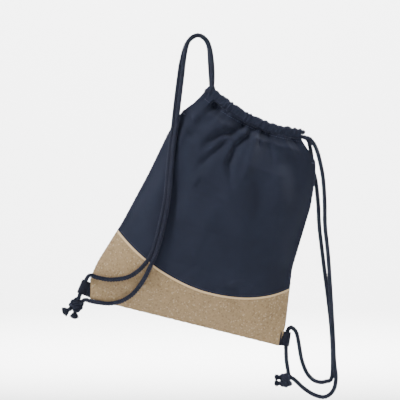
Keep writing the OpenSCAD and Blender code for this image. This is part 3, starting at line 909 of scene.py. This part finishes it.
KNOT_PLACES = {"left": ((-0.222, 0, -0.488), 38), "right": ((0.160, 0, -0.625), 90)}
knots = {}
for side, (spot, tilt) in KNOT_PLACES.items():
    put = pointing(np.array(spot), tilt)
    for k, start in enumerate((0.4, 0.4 + np.pi)):
        line = put(wrap_route(start, 1.10, 0.0140, 0.0092, 0.003))
        name = f"{side}_knot_strand_{'ab'[k]}"
        knots[side, k] = rope_mesh(name, line, radius=0.0046, lay=0.019, beside=axis_of(put, 2))
print("knots:", [o.name for o in knots.values()])

# %% [markdown]
# ## Cut ends
# Past its knot a rope shows a short tail, and the tail frays into loose yarns. A yarn is a thin
# tube that starts inside the rope and bends outward. All the yarns of a tail are one array.


# %%
def brush(name, put, start, length, root_r, tip_r, count, seed, thick=0.00042):
    """Loose yarns from a rope's end: each spreads from its place in it to a wider circle, and curls."""
    r = np.random.default_rng(seed)
    a, q = r.uniform(0, 2 * np.pi, (2, count, 1)) * [[[1]], [[0.5 / np.pi]]]
    q = np.sqrt(q)
    k = np.linspace(0, 1, 10)[None, :]
    bow = r.uniform(0.6, 1.5, (count, 1))
    a = a + r.normal(0, 0.5, (count, 1)) * k**2
    far = root_r * q + (tip_r * q * r.uniform(0.7, 1.1, (count, 1)) - root_r * q) * k**bow
    z = start + length * k * (1 - 0.30 * q**2) * r.uniform(0.8, 1.0, (count, 1))
    line = np.stack([far * np.cos(a), far * np.sin(a), z], -1)
    way = unit(np.gradient(line, axis=1))
    side = unit(np.cross(way, [0.3, 1.0, 0.1]))
    up = np.cross(side, way)
    w = np.linspace(0, 2 * np.pi, 5, endpoint=False)
    fat = (thick * (1 - 0.55 * k**2))[..., None, None]
    outward = np.cos(w)[:, None] * side[:, :, None] + np.sin(w)[:, None] * up[:, :, None]
    ring = line[:, :, None] + fat * outward
    quads = grid_faces(10, 5, True)[None] + np.arange(count)[:, None, None] * 50
    uv = np.stack(np.broadcast_arrays(w * thick, z[..., None]), -1)
    return make_mesh(name, put(ring.reshape(-1, 3)), quads.reshape(-1, 4), rope_cloth, uv.reshape(-1, 2))


# Each tail's place, tilt, how far out it starts, length, width of the brush and number of yarns
TAILS = {
    "left": [
        ((-0.228, 0, -0.492), 62, 0.005, 0.017, 0.0092, 620),
        ((-0.222, 0, -0.492), 12, 0.005, 0.017, 0.0086, 560),
    ],
    "right": [
        ((0.155, 0, -0.6306), 90, 0.003, 0.013, 0.0062, 260),
        ((0.155, 0, -0.6194), 90, 0.003, 0.013, 0.0058, 260),
    ],
}
tails = {"left": [], "right": []}
for side, rows_of in TAILS.items():
    for n, (spot, tilt, start, size, wide, count) in enumerate(rows_of):
        put = pointing(np.array(spot), tilt)
        stub = np.stack([np.zeros(16), np.zeros(16), np.linspace(start - 0.004, start + 0.62 * size, 16)], -1)
        line = resample(put(stub), 0.0006)
        tails[side].append(rope_mesh(f"{side}_tail_{n}", line, radius=0.0043, beside=axis_of(put, 1)))
        name, root = f"{side}_tail_yarns_{n}", start + 0.35 * size
        tails[side].append(brush(name, put, root, 0.65 * size, 0.0046, wide, count, 5 + n))
print("tails:", {k: len(v) for k, v in tails.items()})

# %% [markdown]
# ## Edges and seams
# The cork's cut edge shows as a pale strip on the canvas. Where the two faces meet, the cloth
# is turned in, which leaves a thin round ridge down each side and along the bottom.


# %%
edges = {}
for side, face in (("front", -1), ("back", 1)):
    low, high = (lambda s: seam_t(s) - 0.003), (lambda s: seam_t(s) + 0.0062)
    lift = CANVAS_T + 0.0001
    edges[side] = panel(side + "_pale_edge", face, low, high, 5, 300, SEED[face], 0.0007, edge, lift)


def ridge(name, s, t, material, seed, wide=0.0016, thick=0.0013):
    """A flattened tube along the border where front and back meet."""
    middle = hang(flat_u(s, t), 0 * s, flat_v(s, t))
    middle = resample(middle, 0.0012)
    way = unit(np.gradient(middle, axis=0))
    out = np.cross(way, [0, 1.0, 0])
    a = np.linspace(0, 2 * np.pi, 12, endpoint=False)[None, :, None]
    pucker = 1 + 0.18 * wobble(np.linspace(0, 1, len(middle)), seed, 6, 12, 50)[:, None, None]
    bulge = wide * np.cos(a) * out[:, None] + thick * np.sin(a) * np.array([0, 1.0, 0])
    points = (middle[:, None] + pucker * bulge).reshape(-1, 3)
    uv = np.stack(np.broadcast_arrays(a[..., 0] * 0.002, np.arange(len(middle))[:, None] * 0.0012), -1)
    return make_mesh(name, points, grid_faces(len(middle), 12, True)[:, ::-1], material, uv.reshape(-1, 2))


line = np.linspace(0, 1, 300)
left_top, right_top = float(seam_t(np.array(0.0))), float(seam_t(np.array(1.0)))
seams = {
    "left_side": ridge("left_side_ridge", 0 * line, left_top + (0.875 - left_top) * line, canvas, 1),
    "right_side": ridge("right_side_ridge", 0 * line + 1, right_top + (0.875 - right_top) * line, canvas, 2),
    "left_low": ridge("left_low_ridge", 0 * line, left_top * line, cork, 3),
    "right_low": ridge("right_low_ridge", 0 * line + 1, right_top * line, cork, 4),
    "bottom": ridge("bottom_ridge", line, 0 * line, cork, 5),
}
bars = []
for side, face in (("front", -1), ("back", 1)):
    here, way, out = on_face(np.array([0.016, 0.984]), np.array([0.86, 0.86]), face, CANVAS_T + 0.0008)
    bars.append(beads(side + "_bartacks", here, way, out, (0.006, 0.0018, 0.0012), thread))
print("edges, ridges and bartacks")

# %% [markdown]
# ## The gathered corner
# At the left end the two hems and the corner of the bag close round the ropes like the neck
# of a pouch. It is a sleeve: wide and flat where it leaves the bag, and narrow where the ropes
# come out. Pleats run up it, so its section is an ellipse with a wave round it.

# %%
k = np.linspace(0, 1, 40)[:, None]
a = np.linspace(0, 2 * np.pi, 96, endpoint=False)[None, :]
FOOT_X, FOOT_Z, TOP_X, TOP_Z = 0.0130, -0.1210, 0.0255, -0.0880
half_wide = 0.0062 + 0.0130 * (1 - k) ** 1.4
half_deep = 0.0098 - 0.0012 * (1 - k) + 0.0010 * np.sin(np.pi * k)
pleat = 1 + (0.05 + 0.05 * k) * np.cos(9 * a + 1.5 * np.sin(2 * a) + 1.2 * k) + 0.03 * np.cos(17 * a + 2)
pleat = pleat * (1 - 0.35 * smooth((k - 0.93) / 0.07))  # the rim turns in
x = FOOT_X + (TOP_X - FOOT_X) * k**0.8 + half_wide * np.cos(a) * pleat
y = half_deep * np.sin(a) * pleat
z = FOOT_Z + (TOP_Z - FOOT_Z) * k - 0.0040 * np.cos(a) * (1 - k)
neck = np.stack([x, y, z], -1)
neck_uv = np.stack(np.broadcast_arrays(a * 0.008, k * 0.034), -1).reshape(-1, 2)
corner = make_mesh("gathered_corner", neck.reshape(-1, 3), grid_faces(40, 96, True)[:, ::-1], canvas, neck_uv)
print("corner sleeve from z", round(float(z.min()), 3), "to", round(float(z.max()), 3))

# %% [markdown]
# ## Riding and standing in
# Every piece rides on a CAD body and moves with it. A piece also stands for the CAD nodes that
# it covers, so that the plain solids are hidden.


# %%
def wear(piece, body, slot, *nodes):
    """A piece rides on a body and stands for nodes. Its slot is not used."""
    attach(piece, body)
    if nodes:
        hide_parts(*nodes)


for side in ("front", "back"):
    wear(panels[side + "_canvas"], "bag", "canvas", side + "_canvas_panel")
    wear(panels[side + "_cork"], "bag", "cork", side + "_cork_panel")
    wear(hems[side], "bag", "canvas", side + "_hem_channel")
    wear(edges[side], "bag", "cork_edge", side + "_cork_edge")
for side in ("left", "right"):
    wear(tabs[side], "bag", "webbing", side + "_tab")
    wear(inside[side], "bag", "rope", side + "_cord_in_hem")
wear(corner, "bag", "canvas")
print("the bag's panels, hems, edges, tabs and inner cords ride")

# %%
# Seams and thread. The ridges along the bottom are cork, and those up the sides canvas
for name, piece in seams.items():
    wear(piece, "bag", "canvas" if "side" in name else "cork")
for name in ("left_side", "right_side", "bottom"):
    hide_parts(name + "_seam")
for piece in hem_stitches + seam_stitches + bars:
    wear(piece, "bag", "thread")
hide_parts("slit_bartacks")
for side in ("left", "right"):
    wear(tab_stitches[side], "bag", "thread", side + "_tab_stitching")
print("seams and thread ride on the bag")

# %%
# A knot and its tails ride on a body of their own, which swings at the end of the strap
for side in ("left", "right"):
    for piece in (knots[side, 0], knots[side, 1], *tails[side]):
        wear(piece, side + "_knot", "rope")
    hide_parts(side + "_knot")
    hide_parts(side + "_knot_tails")
print("knots ride on their own bodies")

# %% [markdown]
# ## Free ropes across a joint
# A free rope starts on the bag and ends on its strap. Its place is baked into its points, and
# the CAD nodes that it covers are hidden.

# %%
ROPE_NODES = {"left": ["left_{}_rope_rise", "left_{}_rope_fall"], "right": ["right_{}_rope"]}
for name, (piece, line) in strands.items():
    side, face = name.split("_")
    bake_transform(piece)
    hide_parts(*[node.format(face) for node in ROPE_NODES[side]])
    start = (RISE if side == "left" else RIGHT_ROPE)[face][0]
print("ropes blended and declared:", list(strands))

# %%
# Each side's canvas and cork, in turn. The canvas is gathered, and the cork is not
for n, side in enumerate(("front", "back")):
    cloth, band = panels[side + "_canvas"], panels[side + "_cork"]
